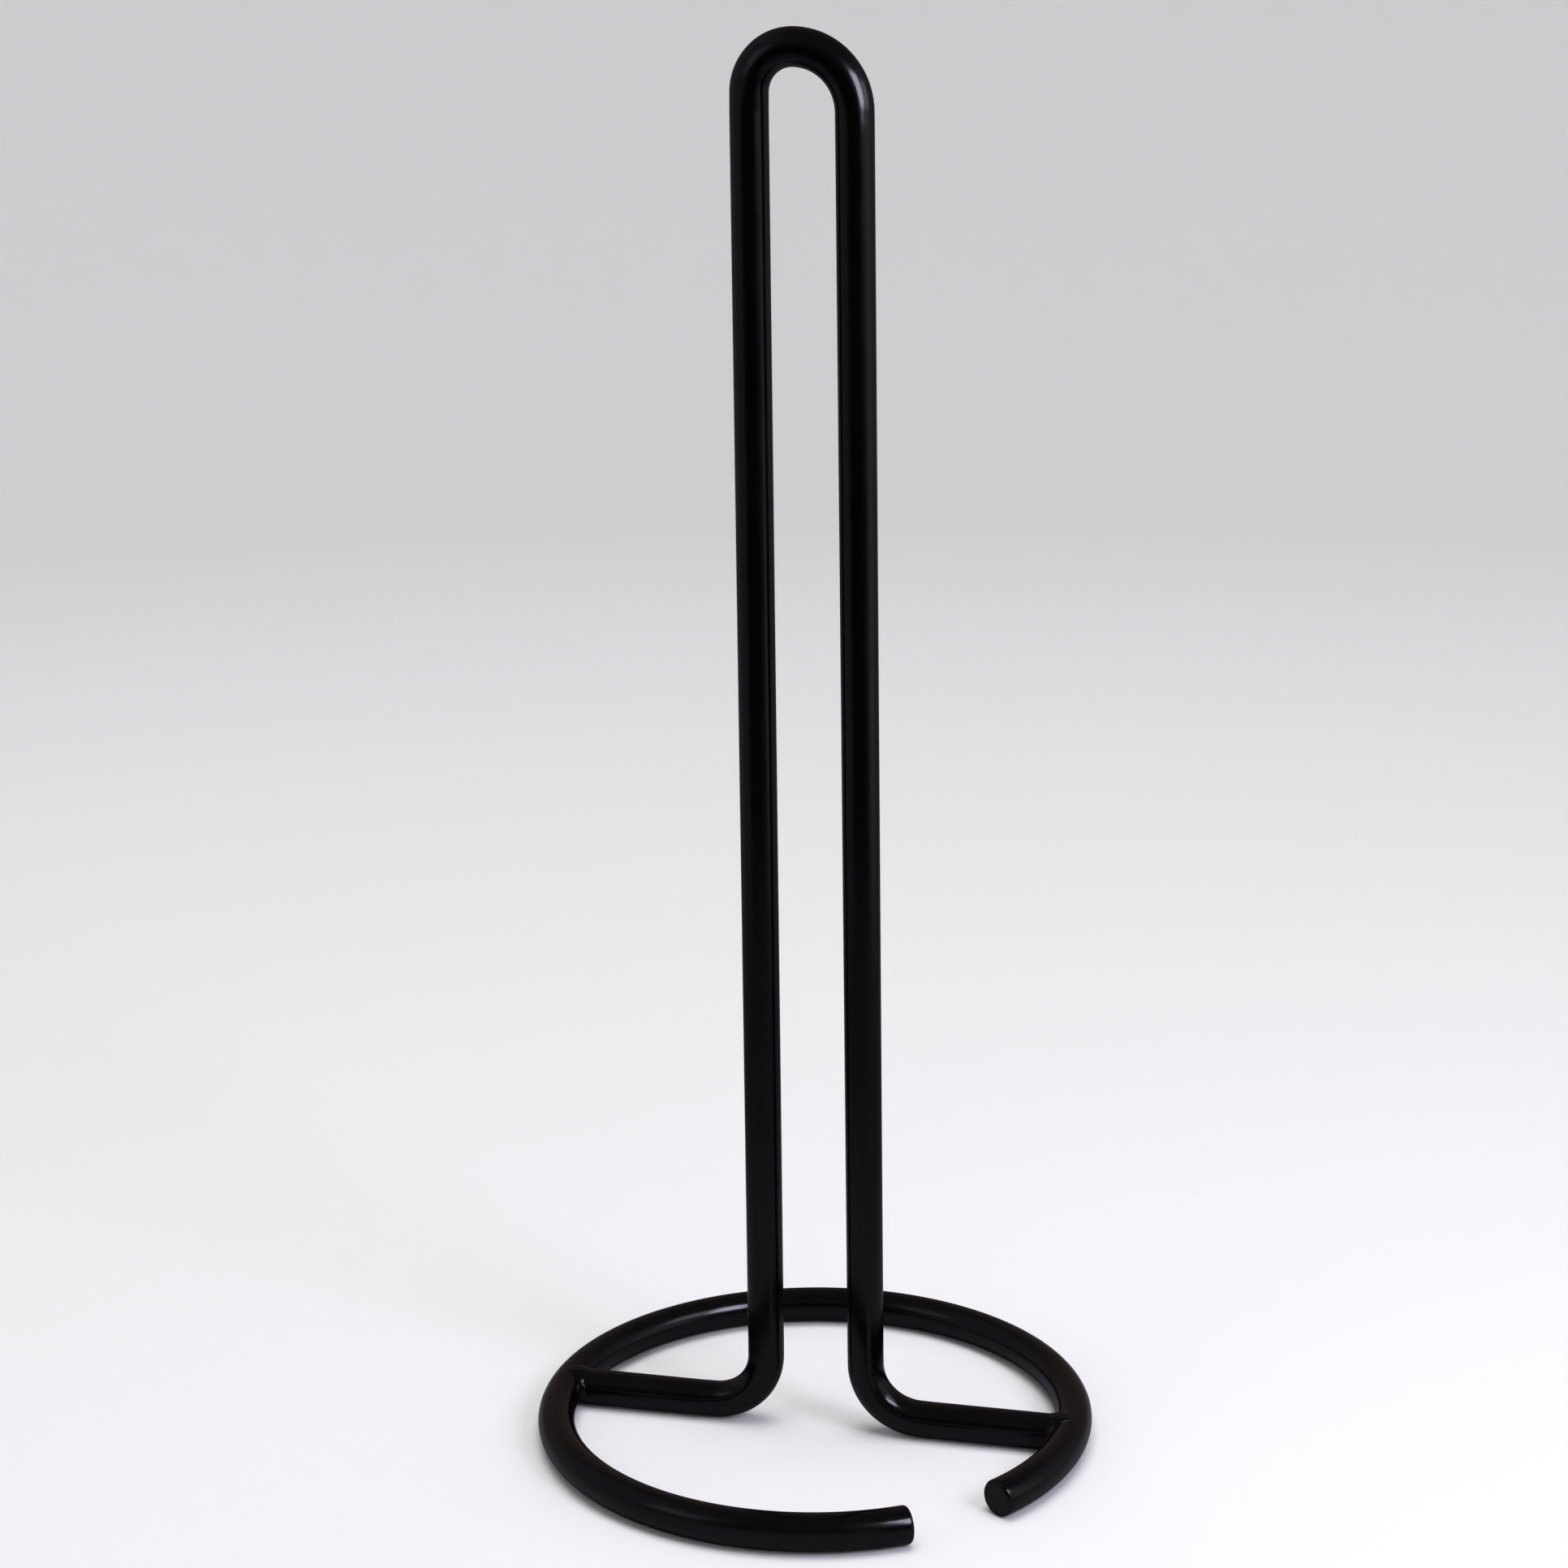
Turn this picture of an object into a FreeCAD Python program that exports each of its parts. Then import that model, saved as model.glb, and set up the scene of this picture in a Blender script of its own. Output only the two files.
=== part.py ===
# Paper towel holder: a freestanding post of two bent round steel bars, welded and powder coated.
#
# One bar is rolled into an open ring, which is the base. The other is bent into a tall hairpin:
# its two legs lie across the ring, turn up side by side through an elbow each, and join over the
# top in a tight crown. A fillet of weld fixes each leg's end to the inside of the ring.
#
# Millimetres. The origin is the ring's centre on the surface that the holder stands on, +Z is up,
# +X runs along the legs to the right, and the ring's mouth is at the front right (-Y, +X).

import FreeCAD
import Part
import math
import os

# ---- driving dimensions ---------------------------------------------------------------------

bar_diameter = 8.0            # both bars, over the powder coat
end_edge_radius = 0.8         # rounding of the ring's two cut ends

ring_outer_diameter = 123.0
mouth_direction = -46.4       # degrees from +X to the middle of the ring's mouth
mouth_width = 21.5            # clear distance between the ring's cut ends, on the bar's axis

overall_height = 303.0
foot_spacing = 22.7           # between the uprights' axes where they leave the legs
foot_centre = 0.35            # middle of the feet, along X
elbow_radius = 12.0           # on the bar's axis
crown_spacing = 21.8          # between the uprights' axes at the top
crown_centre = -0.75          # middle of the crown, along X: the hairpin leans a little to the left
crown_left_radius = 8.9       # on the bar's axis; the right bend takes up the rest of the spacing

weld_bite = 1.0               # how far a leg's square end is upset into the ring's side
weld_rise = 0.7               # crown of the weld above the bar
weld_length = 7.6             # from the weld's toe on the leg to its toe on the ring
weld_overlap = 0.6            # how far the weld's profile passes the ring's axis
weld_sink = 0.15              # how far under the ring's top the weld's profile ends
weld_floor_gap = 0.5          # the weld stops this far above the surface that the holder stands on

# ---- sizes that follow ----------------------------------------------------------------------

bar_radius = bar_diameter / 2
ring_radius = (ring_outer_diameter - bar_diameter) / 2
leg_end = ring_radius - bar_radius + weld_bite

Z_AXIS = FreeCAD.Vector(0, 0, 1)
X_AXIS = FreeCAD.Vector(1, 0, 0)


def rounded_path(corners, radii):
    """A wire through corners, with an arc of the given radius in place of each inner corner."""
    edges = []
    start = corners[0]
    for before, corner, after, radius in zip(corners, corners[1:], corners[2:], radii):
        towards = (corner - before).normalize()
        away = (after - corner).normalize()
        turn = towards.getAngle(away)
        setback = radius * math.tan(turn / 2)
        arc_start = corner - towards * setback
        arc_end = corner + away * setback
        inward = (away - towards).normalize()
        middle = corner + inward * (radius / math.cos(turn / 2) - radius)
        if (arc_start - start).Length > 1e-6:
            edges.append(Part.makeLine(start, arc_start))
        edges.append(Part.Arc(arc_start, middle, arc_end).toShape())
        start = arc_end
    edges.append(Part.makeLine(start, corners[-1]))
    return Part.Wire(edges)


def bent_bar(corners, radii):
    """A round bar that follows a rounded path."""
    path = rounded_path(corners, radii)
    section = Part.makeCircle(bar_radius, corners[0], corners[1] - corners[0])
    return path.makePipeShell([Part.Wire(section)], True, False)


def closed_ring():
    """The ring before its mouth is cut: what the legs and the welds are fitted to."""
    return Part.makeTorus(ring_radius, bar_radius, FreeCAD.Vector(0, 0, bar_radius), Z_AXIS)


# ---- base ring: one bar rolled to a circle, with square-cut ends and their edges rounded ------

def base_ring():
    half_mouth = math.degrees(math.asin(mouth_width / 2 / ring_radius))
    ring = Part.makeTorus(
        ring_radius,
        bar_radius,
        FreeCAD.Vector(0, 0, bar_radius),
        Z_AXIS,
        -180,
        180,
        360 - 2 * half_mouth,
    )
    ring.rotate(FreeCAD.Vector(0, 0, 0), Z_AXIS, mouth_direction + half_mouth)
    end_faces = [face for face in ring.Faces if isinstance(face.Surface, Part.Plane)]
    end_edges = [edge for face in end_faces for edge in face.Edges]
    return ring.makeFillet(end_edge_radius, end_edges)


# ---- hairpin: one bar with four bends, from the left leg over the crown to the right leg ------

def crown_right_radius(turn_left, turn_right):
    """The right bend's radius that brings the two bends together with no flat between them."""
    left_setback = crown_left_radius * math.tan(turn_left / 2)
    return (crown_spacing - left_setback) / math.tan(turn_right / 2)


def hairpin():
    axis_height = bar_radius
    crown_height = overall_height - bar_radius
    left_foot = FreeCAD.Vector(foot_centre - foot_spacing / 2, 0, axis_height)
    right_foot = FreeCAD.Vector(foot_centre + foot_spacing / 2, 0, axis_height)
    left_top = FreeCAD.Vector(crown_centre - crown_spacing / 2, 0, crown_height)
    right_top = FreeCAD.Vector(crown_centre + crown_spacing / 2, 0, crown_height)
    left_end = FreeCAD.Vector(-leg_end, 0, axis_height)
    right_end = FreeCAD.Vector(leg_end, 0, axis_height)

    turn_left = (left_top - left_foot).getAngle(X_AXIS)
    turn_right = (right_foot - right_top).getAngle(X_AXIS)
    radii = [
        elbow_radius,
        crown_left_radius,
        crown_right_radius(turn_left, turn_right),
        elbow_radius,
    ]
    bar = bent_bar([left_end, left_foot, left_top, right_top, right_foot, right_end], radii)
    return bar.cut(closed_ring())


# ---- welds: a fillet round the end of each leg, left off underneath so the base sits flat -----

def weld(side):
    """The fillet at the left (-1) or the right (1) leg, turned about the leg's axis."""
    toe = ring_radius + weld_overlap - weld_length
    root = FreeCAD.Vector(side * toe, 0, bar_radius)
    leg_toe = FreeCAD.Vector(side * toe, 0, bar_diameter)
    crest = FreeCAD.Vector(side * (toe + weld_length / 2), 0, bar_diameter + weld_rise)
    ring_toe = FreeCAD.Vector(side * (toe + weld_length), 0, bar_diameter - weld_sink)
    ring_root = FreeCAD.Vector(side * (toe + weld_length), 0, bar_radius)
    outline = Part.Wire(
        [
            Part.makeLine(root, leg_toe),
            Part.Arc(leg_toe, crest, ring_toe).toShape(),
            Part.makeLine(ring_toe, ring_root),
            Part.makeLine(ring_root, root),
        ]
    )
    barrel = Part.Face(outline).revolve(root, X_AXIS, 360)

    leg = Part.makeCylinder(bar_radius, leg_end, FreeCAD.Vector(0, 0, bar_radius), X_AXIS * side)
    reach = bar_diameter + 2 * weld_rise
    under = Part.makeBox(2 * weld_length, 2 * reach, reach)
    under.translate(
        FreeCAD.Vector(side * ring_radius - weld_length, -reach, weld_floor_gap - reach)
    )
    return barrel.cut([leg, closed_ring(), under])


# ---- the parts ------------------------------------------------------------------------------

parts = {
    "base_ring": base_ring(),
    "hairpin_post": hairpin(),
    "left_weld": weld(-1),
    "right_weld": weld(1),
}

os.makedirs("parts", exist_ok=True)
for name, shape in parts.items():
    solids = shape.Solids
    if len(solids) == 1:
        shape = solids[0]
    shape.exportStep(os.path.join("parts", name + ".step"))
    box = shape.optimalBoundingBox(True, False)
    state = "valid" if shape.isValid() else "NOT VALID"
    print(name, len(solids), "solid", state, "%.1f mm3" % shape.Volume)
    print("    X %.2f to %.2f" % (box.XMin, box.XMax))
    print("    Y %.2f to %.2f" % (box.YMin, box.YMax))
    print("    Z %.2f to %.2f" % (box.ZMin, box.ZMax))
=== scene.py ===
# Paper towel holder in black powder coated steel bar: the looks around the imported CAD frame.
# Metres, in the frame of the CAD part: origin at the ring's centre on the table, +Z up,
# +X along the legs to the right, and the ring's mouth at the front right.

import math

import bmesh
import bpy
from mathutils import Matrix, Vector, noise


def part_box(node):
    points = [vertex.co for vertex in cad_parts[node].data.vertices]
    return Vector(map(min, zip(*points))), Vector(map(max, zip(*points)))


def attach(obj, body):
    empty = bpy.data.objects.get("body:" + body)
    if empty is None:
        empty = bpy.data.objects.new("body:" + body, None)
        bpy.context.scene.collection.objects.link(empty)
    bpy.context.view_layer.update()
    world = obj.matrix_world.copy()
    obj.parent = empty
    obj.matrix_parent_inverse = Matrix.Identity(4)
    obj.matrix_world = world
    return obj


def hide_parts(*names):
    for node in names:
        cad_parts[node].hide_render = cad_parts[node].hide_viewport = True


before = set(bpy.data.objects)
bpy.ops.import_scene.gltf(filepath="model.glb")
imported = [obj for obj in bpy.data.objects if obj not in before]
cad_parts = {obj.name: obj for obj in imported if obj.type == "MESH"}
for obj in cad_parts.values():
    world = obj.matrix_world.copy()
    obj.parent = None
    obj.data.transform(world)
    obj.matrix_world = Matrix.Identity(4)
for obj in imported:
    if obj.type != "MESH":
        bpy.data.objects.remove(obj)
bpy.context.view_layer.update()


# ---- viewpoint -------------------------------------------------------------------------------
# A short telephoto view from about the crown's height, looking down at the base.
# The legs run away from the viewer to the left, so the holder is seen turned by the heading.

camera_heading = math.radians(13.93)
camera_pitch = math.radians(13.65)
camera_roll = math.radians(-0.55)
camera_place = (0.1422, -0.5963, 0.2963)

camera_data = bpy.data.cameras.new("camera")
camera_data.sensor_width = 36.0
camera_data.lens = 68.4
camera_data.clip_start = 0.01
camera_data.clip_end = 50.0
camera = bpy.data.objects.new("camera", camera_data)
camera.matrix_world = (
    Matrix.Translation(camera_place)
    @ Matrix.Rotation(camera_heading, 4, "Z")
    @ Matrix.Rotation(math.pi / 2 - camera_pitch, 4, "X")
    @ Matrix.Rotation(camera_roll, 4, "Z")
)
bpy.context.scene.collection.objects.link(camera)
bpy.context.scene.camera = camera


# ---- base ring -------------------------------------------------------------------------------
# One length of 8 mm mild steel bar rolled into an open ring, both ends cut square and their
# edges knocked off. The hairpin's legs end in its inner side and are welded there.

MM = 0.001


def linear(hex_colour):
    """An sRGB hex colour as linear RGBA."""
    channels = [int(hex_colour[i : i + 2], 16) / 255 for i in (1, 3, 5)]
    return [c / 12.92 if c <= 0.04045 else ((c + 0.055) / 1.055) ** 2.4 for c in channels] + [1.0]


def add(material, kind, settings=None, **links):
    """Adds a node; settings fill its properties or sockets, and links feed its sockets.

    A socket goes by its name or its number. Those of a colour mix are 6 and 7.
    """
    tree = material.node_tree
    node = tree.nodes.new(kind)
    for key, value in (settings or {}).items():
        if isinstance(key, int) or key in node.inputs:
            node.inputs[key].default_value = value
        else:
            setattr(node, key, value)
    for key, source in links.items():
        tree.links.new(source, node.inputs[key.replace("_", " ")])
    return node


# Polyester powder, sprayed dry on the bare steel and baked: a black semi-gloss skin of 0.1 mm.
# It flows out as it bakes, which leaves faint orange peel, and the odd speck of dust under it
# stands up as a nib. The eye sees soft, slightly broken highlights on a near-black body.
def powder_coat(name, peel_height, nib_height):
    """The coat with orange peel and nibs of the given heights, in metres."""
    peel_width = 1.6 * MM
    nib_spacing = 4.0 * MM
    nib_radius = 0.16 * MM
    patch_width = 14.0 * MM

    material = bpy.data.materials.new(name)
    material.use_nodes = True
    tree = material.node_tree
    tree.nodes.clear()
    place = add(material, "ShaderNodeTexCoord").outputs["Object"]

    patches = add(
        material,
        "ShaderNodeTexNoise",
        {"Scale": 1 / patch_width, "Detail": 3.0, "Roughness": 0.55},
        Vector=place,
    )
    colour = add(material, "ShaderNodeValToRGB", Fac=patches.outputs["Fac"])
    colour.color_ramp.elements[0].position = 0.35
    colour.color_ramp.elements[0].color = linear("#010101")
    colour.color_ramp.elements[1].position = 0.70
    colour.color_ramp.elements[1].color = linear("#030303")

    roughness = add(
        material,
        "ShaderNodeMapRange",
        {"From Min": 0.3, "From Max": 0.7, "To Min": 0.14, "To Max": 0.20},
        Value=patches.outputs["Fac"],
    )

    peel = add(
        material,
        "ShaderNodeTexNoise",
        {"Scale": 1 / peel_width, "Detail": 2.0, "Roughness": 0.45},
        Vector=place,
    )
    nib_cells = add(
        material,
        "ShaderNodeTexVoronoi",
        {"Scale": 1 / nib_spacing, "Randomness": 1.0},
        Vector=place,
    )
    nibs = add(
        material,
        "ShaderNodeMapRange",
        {
            "interpolation_type": "SMOOTHSTEP",
            "From Min": 0.0,
            "From Max": nib_radius / nib_spacing,
            "To Min": 1.0,
            "To Max": 0.0,
        },
        Value=nib_cells.outputs["Distance"],
    )
    peel_bump = add(
        material,
        "ShaderNodeBump",
        {"Strength": 1.0, "Distance": peel_height},
        Height=peel.outputs["Fac"],
    )
    nib_bump = add(
        material,
        "ShaderNodeBump",
        {"Strength": 1.0, "Distance": nib_height},
        Height=nibs.outputs["Result"],
        Normal=peel_bump.outputs["Normal"],
    )
    coat = add(
        material,
        "ShaderNodeBsdfPrincipled",
        {"IOR": 1.5, "Metallic": 0.0},
        Base_Color=colour.outputs["Color"],
        Roughness=roughness.outputs["Result"],
        Normal=nib_bump.outputs["Normal"],
    )
    add(material, "ShaderNodeOutputMaterial", Surface=coat.outputs["BSDF"])
    return material


bar_peel_height = 0.012 * MM
bar_nib_height = 0.03 * MM
bar_coat = powder_coat("black semi-gloss powder coat", bar_peel_height, bar_nib_height)

ring_low, ring_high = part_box("base_ring")
bar_radius = (ring_high.z - ring_low.z) / 2
ring_radius = (ring_high.x - ring_low.x) / 2 - bar_radius
mouth_direction = math.radians(-46.4)
mouth_width = 21.5 * MM
end_edge_radius = 0.8 * MM
sides = 72


def made_of(name, mesh):
    """The mesh as a smooth object in the scene."""
    data = bpy.data.meshes.new(name)
    mesh.to_mesh(data)
    mesh.free()
    data.shade_smooth()
    piece = bpy.data.objects.new(name, data)
    bpy.context.scene.collection.objects.link(piece)
    return piece


def skin(mesh, loops):
    """Joins each closed loop of vertices to the next one with quads."""
    for first, second in zip(loops, loops[1:]):
        for i in range(len(first)):
            j = (i + 1) % len(first)
            mesh.faces.new((first[i], first[j], second[j], second[i]))


def spokes(direction, plane_normal):
    """Unit vectors square to the direction, all the way round it from plane_normal."""
    side = direction.cross(plane_normal)
    turns = [2 * math.pi * i / sides for i in range(sides)]
    return [plane_normal * math.cos(turn) + side * math.sin(turn) for turn in turns]


def bar_mesh(name, centres, plane_normal, end_shapes):
    """A round bar along centres, a list of (point, direction, bend) in plane_normal's plane.

    bend points to the middle of the bend and is one over its radius long. A tight bend swells
    the bar's inner side and thins the outer one. end_shapes rounds off both ends.
    """
    mesh = bmesh.new()
    rings = []
    for point, direction, bend in centres:
        ring = []
        for out in spokes(direction, plane_normal):
            swell = plane_normal * out.dot(plane_normal) * out.dot(bend) * bar_radius / 2
            ring.append(mesh.verts.new(point + (out + swell) * bar_radius))
        rings.append(ring)
    for end, (point, direction, _) in ((0, centres[0]), (-1, centres[-1])):
        outward = -direction if end == 0 else direction
        for inset, forward in end_shapes:
            ring = []
            for out in spokes(direction, plane_normal):
                reach = out * (bar_radius - inset)
                ring.append(mesh.verts.new(point + reach + outward * forward))
            if end == 0:
                rings.insert(0, ring)
            else:
                rings.append(ring)
    skin(mesh, rings)
    for ring in (rings[0], rings[-1]):
        middle = mesh.verts.new(sum((v.co for v in ring), Vector()) / sides)
        for i in range(sides):
            mesh.faces.new((ring[i], ring[(i + 1) % sides], middle))
    bmesh.ops.recalc_face_normals(mesh, faces=mesh.faces)
    return made_of(name, mesh)


def rounded_end(edge_radius, steps=6):
    """Insets and advances of the rings that round a square-cut end, ending on its flat face."""
    shape = []
    for i in range(1, steps + 1):
        turn = math.pi / 2 * i / steps
        shape.append((edge_radius * (1 - math.cos(turn)), edge_radius * math.sin(turn)))
    for inset in (1.05 * edge_radius, 1.5 * edge_radius, 3.0 * edge_radius):
        shape.append((inset, edge_radius))
    return shape


half_mouth = math.asin(mouth_width / 2 / ring_radius)
edge_angle = end_edge_radius / ring_radius
ring_start = mouth_direction + half_mouth + edge_angle
ring_end = mouth_direction + 2 * math.pi - half_mouth - edge_angle
ring_steps = 360
ring_centres = []
for i in range(ring_steps + 1):
    angle = ring_start + (ring_end - ring_start) * i / ring_steps
    point = Vector((math.cos(angle), math.sin(angle), 0)) * ring_radius
    point.z = bar_radius
    ring_centres.append((point, Vector((-math.sin(angle), math.cos(angle), 0)), Vector()))

base_ring = bar_mesh(
    "base_ring_bar", ring_centres, Vector((0, 0, 1)), rounded_end(end_edge_radius)
)
base_ring.data.materials.append(bar_coat)
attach(base_ring, "root")
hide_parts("base_ring")


# ---- hairpin post ----------------------------------------------------------------------------
# The second bar: a leg, an elbow, an upright, the crown, and the same down again to the other
# leg. It is bent cold round a former. The crown is a little rounder on the right.

post_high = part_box("hairpin_post")[1]
foot_spacing = 22.7 * MM
foot_centre = 0.35 * MM
elbow_radius = 12.0 * MM
crown_spacing = 21.8 * MM
crown_centre = -0.75 * MM
crown_left_radius = 8.9 * MM
bend_ease = 3.0 * MM
arc_step = math.radians(4)
line_step = 1.0 * MM


def bent_line(corners, radii):
    """The line through corners, rounded to radii, as points with directions and bends."""
    centres = []
    start = corners[0]
    for before, corner, after, radius in zip(corners, corners[1:], corners[2:], radii):
        towards = (corner - before).normalized()
        away = (after - corner).normalized()
        turn = towards.angle(away)
        setback = radius * math.tan(turn / 2)
        arc_start = corner - towards * setback
        run = (arc_start - start).length
        pieces = max(1, round(run / line_step))
        if run > 1e-6:
            for i in range(pieces):
                centres.append((start.lerp(arc_start, i / pieces), towards, Vector()))
        inward = (away - towards * math.cos(turn)).normalized()
        middle = arc_start + inward * radius
        pieces = max(4, round(turn / arc_step))
        for i in range(pieces):
            angle = turn * i / pieces
            direction = towards * math.cos(angle) + inward * math.sin(angle)
            out = inward * -math.cos(angle) + towards * math.sin(angle)
            centres.append((middle + out * radius, direction, out / -radius))
        start = corner + away * setback
    last = (corners[-1] - start).normalized()
    pieces = max(1, round((corners[-1] - start).length / line_step))
    for i in range(pieces + 1):
        centres.append((start.lerp(corners[-1], i / pieces), last, Vector()))
    eased = []
    for point, direction, bend in centres:
        near = [b for p, _, b in centres if (p - point).length < bend_ease]
        eased.append((point, direction, sum(near, Vector()) / len(near)))
    return eased


axis_height = bar_radius
crown_height = post_high.z - bar_radius
leg_end = post_high.x
left_foot = Vector((foot_centre - foot_spacing / 2, 0, axis_height))
right_foot = Vector((foot_centre + foot_spacing / 2, 0, axis_height))
left_top = Vector((crown_centre - crown_spacing / 2, 0, crown_height))
right_top = Vector((crown_centre + crown_spacing / 2, 0, crown_height))
turn_left = (left_top - left_foot).angle(Vector((1, 0, 0)))
turn_right = (right_foot - right_top).angle(Vector((1, 0, 0)))
crown_right_radius = (
    crown_spacing - crown_left_radius * math.tan(turn_left / 2)
) / math.tan(turn_right / 2)

post_centres = bent_line(
    [
        Vector((-leg_end, 0, axis_height)),
        left_foot,
        left_top,
        right_top,
        right_foot,
        Vector((leg_end, 0, axis_height)),
    ],
    [elbow_radius, crown_left_radius, crown_right_radius, elbow_radius],
)
buried_end = [(1.0 * MM, 0.0)]
post = bar_mesh("hairpin_post_bar", post_centres, Vector((0, 1, 0)), buried_end)
post.data.materials.append(bar_coat)
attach(post, "root")
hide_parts("hairpin_post")


# ---- welds -----------------------------------------------------------------------------------
# A bead of weld round the end of each leg, coated with the rest. It fills the valley between
# the leg and the ring on both sides, runs over the top as a low ridge, and stops short below.

weld_peel_height = 0.02 * MM
weld_nib_height = 0.04 * MM
weld_coat = powder_coat(
    "black semi-gloss powder coat over weld", weld_peel_height, weld_nib_height
)
leg_toe = 1.3 * MM
top_leg_toe = 4.6 * MM
ring_toe = 0.9 * MM
top_toe = 1.6 * MM
ridge_height = 0.48 * MM
weld_end = math.radians(148)
ripple_pitch = 0.9 * MM
ripple_height = 0.005 * MM
grain_width = 1.2 * MM
grain_height = 0.015 * MM
width_wobble = 0.16
wobble_pace = 1.7
wobble_shift = 5.0

# How the bead's section changes on its way round, as shares and plain factors.
toe_shortening = 1.25
end_taper = 0.35
end_toe_share = 0.55
lean_to_leg = 0.6
valley_ridge_loss = 0.6
crest_place = 0.55
crest_pull = 1.6
valley_hollow = 0.42
buried_share = 0.25


def on_ring(side, height_angle, offset):
    """A point on the ring's skin at the joint: 90 degrees is its top and 180 faces the leg."""
    reach = ring_radius + bar_radius * math.cos(height_angle)
    along = offset / ring_radius
    return Vector(
        (
            side * reach * math.cos(along),
            reach * math.sin(along),
            bar_radius + bar_radius * math.sin(height_angle),
        )
    )


def weld_mesh(name, side):
    """The bead at the left (-1) or the right (1) leg."""
    steps = 120
    across = 14
    mesh = bmesh.new()
    loops = []
    for i in range(steps + 1):
        angle = -weld_end + 2 * weld_end * i / steps
        y = bar_radius * math.sin(angle)
        z = bar_radius + bar_radius * math.cos(angle)
        deep = abs(math.sin(angle)) if abs(angle) < math.pi / 2 else 1.0
        root = on_ring(side, math.pi / 2 + abs(angle), y)
        fade = math.sin(math.pi * i / steps) ** end_taper if 0 < i < steps else 0.0
        drift = Vector((angle * wobble_pace, side * wobble_shift, 0.0))
        wobble = 1 + width_wobble * noise.noise(drift)
        reach = top_leg_toe + (leg_toe - top_leg_toe) * min(1.0, toe_shortening * deep)
        grown = end_toe_share + (1 - end_toe_share) * fade
        toe_leg = Vector((root.x - side * reach * wobble * grown, y, z))
        past_top = top_toe / bar_radius * (1 - deep)
        toe_ring = on_ring(
            side,
            math.pi / 2 + abs(angle) - past_top,
            y + math.copysign(ring_toe * deep * wobble, angle) * fade,
        )
        lean = -side * lean_to_leg * deep
        out = Vector((lean, math.sin(angle), math.cos(angle))).normalized()
        ripple = math.sin(2 * math.pi * angle * bar_radius / ripple_pitch)
        ridge = ridge_height * (1 - valley_ridge_loss * deep) * fade * wobble
        crest = ridge + ripple_height * ripple
        between = toe_leg.lerp(toe_ring, crest_place).lerp(root, valley_hollow * deep)
        control = between + out * crest_pull * crest
        loop = []
        for j in range(across + 1):
            t = j / across
            point = toe_leg * (1 - t) ** 2 + control * 2 * t * (1 - t) + toe_ring * t * t
            rough = grain_height * noise.noise(point / grain_width) * 4 * t * (1 - t)
            loop.append(mesh.verts.new(point + out * rough))
        buried = root.lerp(Vector((side * ring_radius, 0, bar_radius)), buried_share)
        loop.append(mesh.verts.new(buried))
        loops.append(loop)
    skin(mesh, loops)
    mesh.faces.new(loops[0])
    mesh.faces.new(loops[-1])
    bmesh.ops.recalc_face_normals(mesh, faces=mesh.faces)
    return made_of(name, mesh)


for side, name in ((-1, "left_weld"), (1, "right_weld")):
    weld = weld_mesh(name + "_bead", side)
    weld.data.materials.append(weld_coat)
    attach(weld, "root")
    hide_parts(name)


# ---- stage -----------------------------------------------------------------------------------
# A pale round table top that sweeps up into a pale wall all round, so that no edge shows.
# It is kept out of the bars' reflections, where it would turn the black coat grey. In its place
# they see painted reflections: a sheet painted as a dim pool of light on the table, and a low
# glowing lip, painted light that the table throws up in front.

floor_radius = 1.3
sweep_radius = 0.8
wall_height = 2.6
sweep_steps = 16

stage_outline = [(0.3, 0.0), (0.8, 0.0), (floor_radius, 0.0)]
for i in range(1, sweep_steps + 1):
    angle = math.pi / 2 * i / sweep_steps
    stage_outline.append(
        (
            floor_radius + sweep_radius * math.sin(angle),
            sweep_radius * (1 - math.cos(angle)),
        )
    )
stage_outline.append((floor_radius + sweep_radius, wall_height))
stage_mesh = bmesh.new()
stage_sides = 96
stage_rings = []
for radius, height in stage_outline:
    ring = []
    for i in range(stage_sides):
        angle = 2 * math.pi * i / stage_sides
        edge = (radius * math.cos(angle), radius * math.sin(angle), height)
        ring.append(stage_mesh.verts.new(edge))
    stage_rings.append(ring)
stage_mesh.faces.new(stage_rings[0])
skin(stage_mesh, stage_rings)
bmesh.ops.recalc_face_normals(stage_mesh, faces=stage_mesh.faces)
bmesh.ops.reverse_faces(stage_mesh, faces=stage_mesh.faces)
stage = made_of("stage", stage_mesh)
paint = bpy.data.materials.new("pale matt paper")
paint.use_nodes = True
paper = paint.node_tree.nodes["Principled BSDF"]
paper.inputs["Base Color"].default_value = linear("#e6e6e6")
paper.inputs["Roughness"].default_value = 1.0
paper.inputs["Specular IOR Level"].default_value = 0.0
stage.data.materials.append(paint)
stage.visible_glossy = False


def stand_in(sheet, finish, seen, clearing):
    """Gives the sheet a finish of the seen shader, clear where clearing is 1.

    Only reflections see it, in place of the table, so what it shows is a painted reflection.
    """
    clear = add(finish, "ShaderNodeBsdfTransparent")
    cover = add(finish, "ShaderNodeMixShader", Fac=clearing.outputs["Result"])
    finish.node_tree.links.new(seen.outputs[0], cover.inputs[1])
    finish.node_tree.links.new(clear.outputs[0], cover.inputs[2])
    add(finish, "ShaderNodeOutputMaterial", Surface=cover.outputs[0])
    sheet.data.materials.append(finish)
    sheet.visible_camera = False
    sheet.visible_diffuse = False
    sheet.visible_shadow = False


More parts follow.
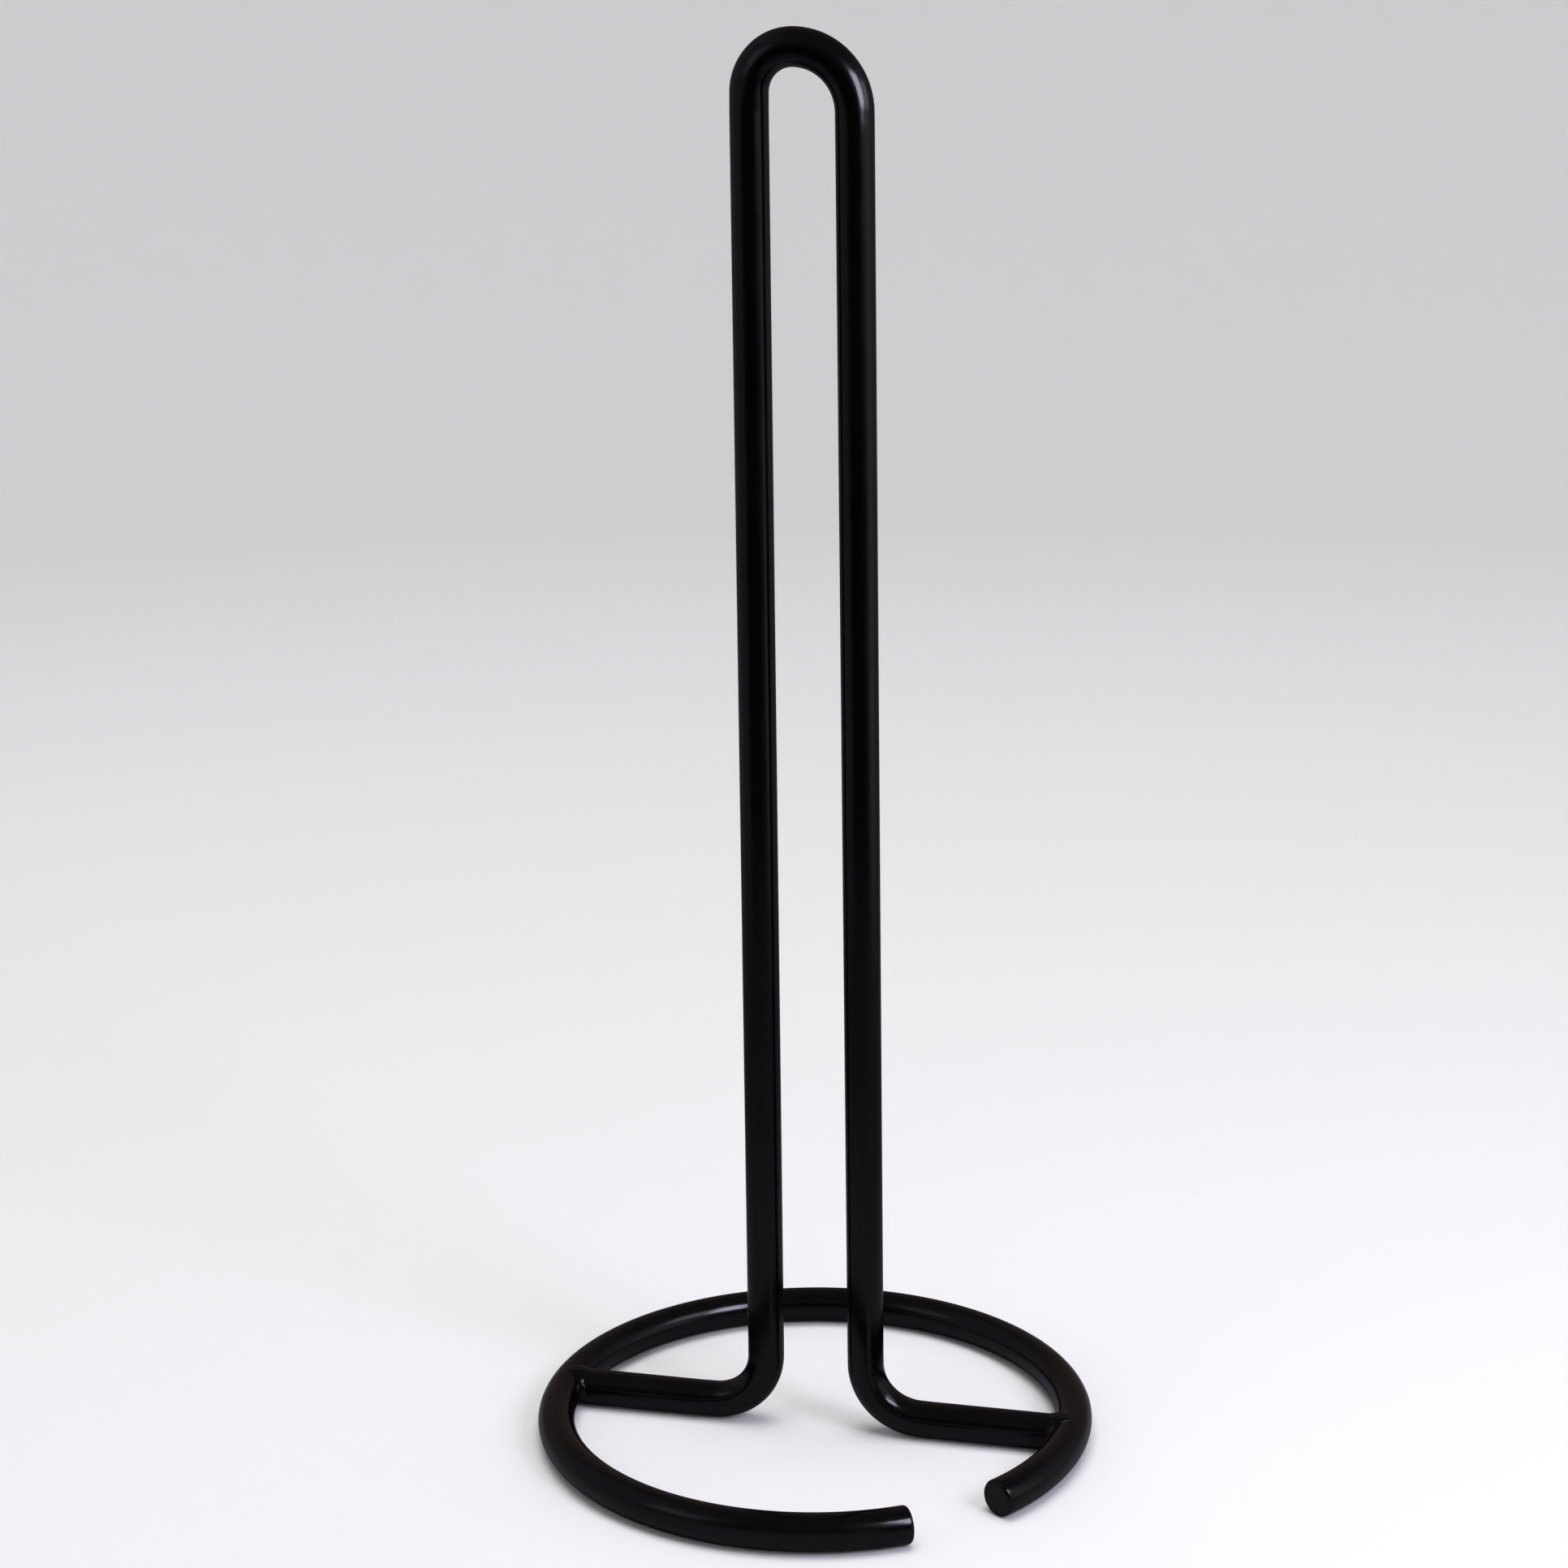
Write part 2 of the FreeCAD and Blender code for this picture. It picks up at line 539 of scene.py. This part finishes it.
pool_radius = 0.62
pool_height = 0.05 * MM
pool_bright_to = 0.06
pool_dim_from = 0.23
pool_fades_from = 0.28
pool_mesh = bmesh.new()
pool_ring = []
for i in range(stage_sides):
    angle = 2 * math.pi * i / stage_sides
    edge = (pool_radius * math.cos(angle), pool_radius * math.sin(angle), pool_height)
    pool_ring.append(pool_mesh.verts.new(edge))
pool_mesh.faces.new(pool_ring)
pool = made_of("pool", pool_mesh)
# Painted light: the sheet's tone is lighter near the holder and darker further out, a painted pool
# of light that only the bars' reflections see.
pool_painted_light = bpy.data.materials.new("pool of light on the table")
pool_painted_light.use_nodes = True
pool_painted_light.node_tree.nodes.clear()
place = add(pool_painted_light, "ShaderNodeTexCoord").outputs["Object"]
reach = add(pool_painted_light, "ShaderNodeVectorMath", {"operation": "LENGTH"}, Vector=place)
outer = add(
    pool_painted_light,
    "ShaderNodeMapRange",
    {
        "interpolation_type": "SMOOTHSTEP",
        "From Min": pool_bright_to,
        "From Max": pool_dim_from,
    },
    Value=reach.outputs["Value"],
)
painted_tone = add(
    pool_painted_light,
    "ShaderNodeMix",
    {"data_type": "RGBA", 6: linear("#6a6b70"), 7: linear("#505156")},
    Factor=outer.outputs["Result"],
)
fade = add(
    pool_painted_light,
    "ShaderNodeMapRange",
    {
        "interpolation_type": "SMOOTHSTEP",
        "From Min": pool_fades_from,
        "From Max": pool_radius,
    },
    Value=reach.outputs["Value"],
)
matt = add(pool_painted_light, "ShaderNodeBsdfDiffuse", Color=painted_tone.outputs[2])
stand_in(pool, pool_painted_light, matt, fade)

lip_radius = 0.125
lip_height = 0.055
lip_dim_from = 0.03
lip_fades_from = 0.018
lip_degrees_left = 65
lip_degrees_right = 20
lip_from = camera_heading + math.radians(-90 - lip_degrees_left)
lip_to = camera_heading + math.radians(-90 + lip_degrees_right)
lip_steps = 32
lip_mesh = bmesh.new()
lip_edge = []
for i in range(lip_steps + 1):
    angle = lip_from + (lip_to - lip_from) * i / lip_steps
    foot = Vector((lip_radius * math.cos(angle), lip_radius * math.sin(angle), 0))
    top = foot + Vector((0, 0, lip_height))
    lip_edge.append((lip_mesh.verts.new(foot), lip_mesh.verts.new(top)))
for (foot, top), (next_foot, next_top) in zip(lip_edge, lip_edge[1:]):
    lip_mesh.faces.new((foot, next_foot, next_top, top))
lip = made_of("lip", lip_mesh)
# Painted reflection: the lip glows though it is no lamp. It is lighter at its foot and fades
# towards its top, standing in for light that the table throws up in front.
lip_painted_glow = bpy.data.materials.new("light thrown up by the table in front")
lip_painted_glow.use_nodes = True
lip_painted_glow.node_tree.nodes.clear()
place = add(lip_painted_glow, "ShaderNodeTexCoord").outputs["Object"]
rise = add(lip_painted_glow, "ShaderNodeSeparateXYZ", Vector=place).outputs["Z"]
higher = add(lip_painted_glow, "ShaderNodeMapRange", {"From Min": 0.0, "From Max": lip_dim_from}, Value=rise)
painted_tone = add(
    lip_painted_glow,
    "ShaderNodeMix",
    {"data_type": "RGBA", 6: linear("#72727a"), 7: linear("#5c5c5f")},
    Factor=higher.outputs["Result"],
)
fade = add(
    lip_painted_glow,
    "ShaderNodeMapRange",
    {
        "interpolation_type": "SMOOTHSTEP",
        "From Min": lip_fades_from,
        "From Max": lip_height,
    },
    Value=rise,
)
bright = add(lip_painted_glow, "ShaderNodeEmission", Color=painted_tone.outputs[2])
stand_in(lip, lip_painted_glow, bright, fade)


# ---- light -----------------------------------------------------------------------------------
# A soft key from the right and in front, a dim fill from the left, and a broad light overhead
# for the table. The rest of the studio is a dim surround, darkest behind the camera.


def area_light(name, place, target, width, height, radiance, colour):
    """A rectangular light of the given radiance, turned from its place to the target."""
    data = bpy.data.lights.new(name, "AREA")
    data.shape = "RECTANGLE"
    data.size = width
    data.size_y = height
    data.energy = radiance * math.pi * width * height
    data.color = linear(colour)[:3]
    light = bpy.data.objects.new(name, data)
    light.location = place
    light.rotation_euler = (Vector(target) - Vector(place)).to_track_quat("-Z", "Y").to_euler()
    light.visible_camera = False
    bpy.context.scene.collection.objects.link(light)
    return light


def around(azimuth, elevation, distance, height):
    """A place seen from the holder: azimuth 0 is towards the camera, and positive to its right."""
    turn = camera_heading + math.radians(azimuth)
    flat = distance * math.cos(math.radians(elevation))
    return Vector(
        (
            flat * math.sin(turn),
            -flat * math.cos(turn),
            height + distance * math.sin(math.radians(elevation)),
        )
    )


post_middle = (0, 0, crown_height / 2)
key_width = 0.21
key_height = 0.31
key_radiance = 9.8
key_colour = "#ebe6ff"
area_light(
    "key",
    around(azimuth=46, elevation=0, distance=0.556, height=0.48),
    post_middle,
    key_width,
    key_height,
    key_radiance,
    key_colour,
)
spill_size = 0.22
spill_radiance = 1.6
area_light(
    "key_spill",
    around(azimuth=72, elevation=0, distance=0.53, height=0.43),
    post_middle,
    spill_size,
    spill_size,
    spill_radiance,
    key_colour,
)
fill_width = 0.42
fill_height = 0.42
fill_radiance = 0.26
area_light(
    "fill",
    around(azimuth=-63, elevation=0, distance=0.85, height=0.70),
    post_middle,
    fill_width,
    fill_height,
    fill_radiance,
    "#f4f4ff",
)
table_light_size = 1.6
table_light_height = 2.2
table_light_radiance = 4.6
table_light = area_light(
    "table_light",
    (0, 0, table_light_height),
    (0, 0, 0),
    table_light_size,
    table_light_size,
    table_light_radiance,
    "#ffffff",
)
table_light.visible_glossy = False

world = bpy.data.worlds.new("studio")
bpy.context.scene.world = world
world.use_nodes = True
world.node_tree.nodes.clear()
direction = add(world, "ShaderNodeTexCoord").outputs["Generated"]
height = add(world, "ShaderNodeSeparateXYZ", Vector=direction).outputs["Z"]
elevation = add(world, "ShaderNodeMath", {"operation": "ARCSINE"}, Value=height).outputs[0]


def within(value, middle, half_width, softness):
    """1 where value, in radians, is within half_width of middle, falling to 0 over softness."""
    offset = add(
        world,
        "ShaderNodeMath",
        {"operation": "SUBTRACT", 1: math.radians(middle)},
        Value=value,
    )
    away = add(world, "ShaderNodeMath", {"operation": "ABSOLUTE"}, Value=offset.outputs[0])
    return add(
        world,
        "ShaderNodeMapRange",
        {
            "interpolation_type": "SMOOTHSTEP",
            "From Min": math.radians(half_width + softness),
            "From Max": math.radians(half_width),
        },
        Value=away.outputs[0],
    ).outputs["Result"]


def bearing(azimuth):
    """The direction's bearing in radians from azimuth, in around()'s terms."""
    ahead = around(azimuth, 0, 1.0, 0.0)
    aside = around(azimuth + 90, 0, 1.0, 0.0)
    parts = []
    for axis in (aside, ahead):
        part = add(world, "ShaderNodeVectorMath", {"operation": "DOT_PRODUCT"}, Vector=direction)
        part.inputs[1].default_value = axis
        parts.append(part.outputs["Value"])
    angle = add(world, "ShaderNodeMath", {"operation": "ARCTAN2"}, Value=parts[0])
    world.node_tree.links.new(parts[1], angle.inputs[1])
    return angle.outputs[0]


# Each patch of the room has a label, its bearing and its elevation, both in degrees as the
# middle, half width and softness, and its colour. The table's patch goes all the way round.
room_above = "#4e4e4f"
room = [
    ("warm room beyond the holder", (180, 32, 32), (7, 18, 24), "#5c504f"),
    ("table", None, (-60, 38, 18), "#4e4e54"),
    ("wall to the left", (-92, 25, 32), (15, 35, 25), "#69696e"),
    ("wall far to the right", (102, 5, 38), (10, 14, 26), "#737176"),
    ("wall to the right", (76, 8, 24), (8, 18, 20), "#a2a0a7"),
    ("dim room behind the camera", (-6, 26, 27), (4, 14, 28), "#1d1d1d"),
]
surround = None
for label, across, up, colour in room:
    patch = within(elevation, *up)
    if across:
        azimuth, half_width, softness = across
        sideways = within(bearing(azimuth), 0, half_width, softness)
        both = add(world, "ShaderNodeMath", {"operation": "MULTIPLY", "label": label}, Value=patch)
        world.node_tree.links.new(sideways, both.inputs[1])
        patch = both.outputs[0]
    mixed = add(world, "ShaderNodeMix", {"data_type": "RGBA", "label": label}, Factor=patch)
    if surround:
        world.node_tree.links.new(surround, mixed.inputs[6])
    else:
        mixed.inputs[6].default_value = linear(room_above)
    mixed.inputs[7].default_value = linear(colour)
    surround = mixed.outputs[2]
background = add(world, "ShaderNodeBackground", {"Strength": 1.0}, Color=surround)
add(world, "ShaderNodeOutputWorld", Surface=background.outputs["Background"])

bpy.context.scene.view_settings.view_transform = "Standard"
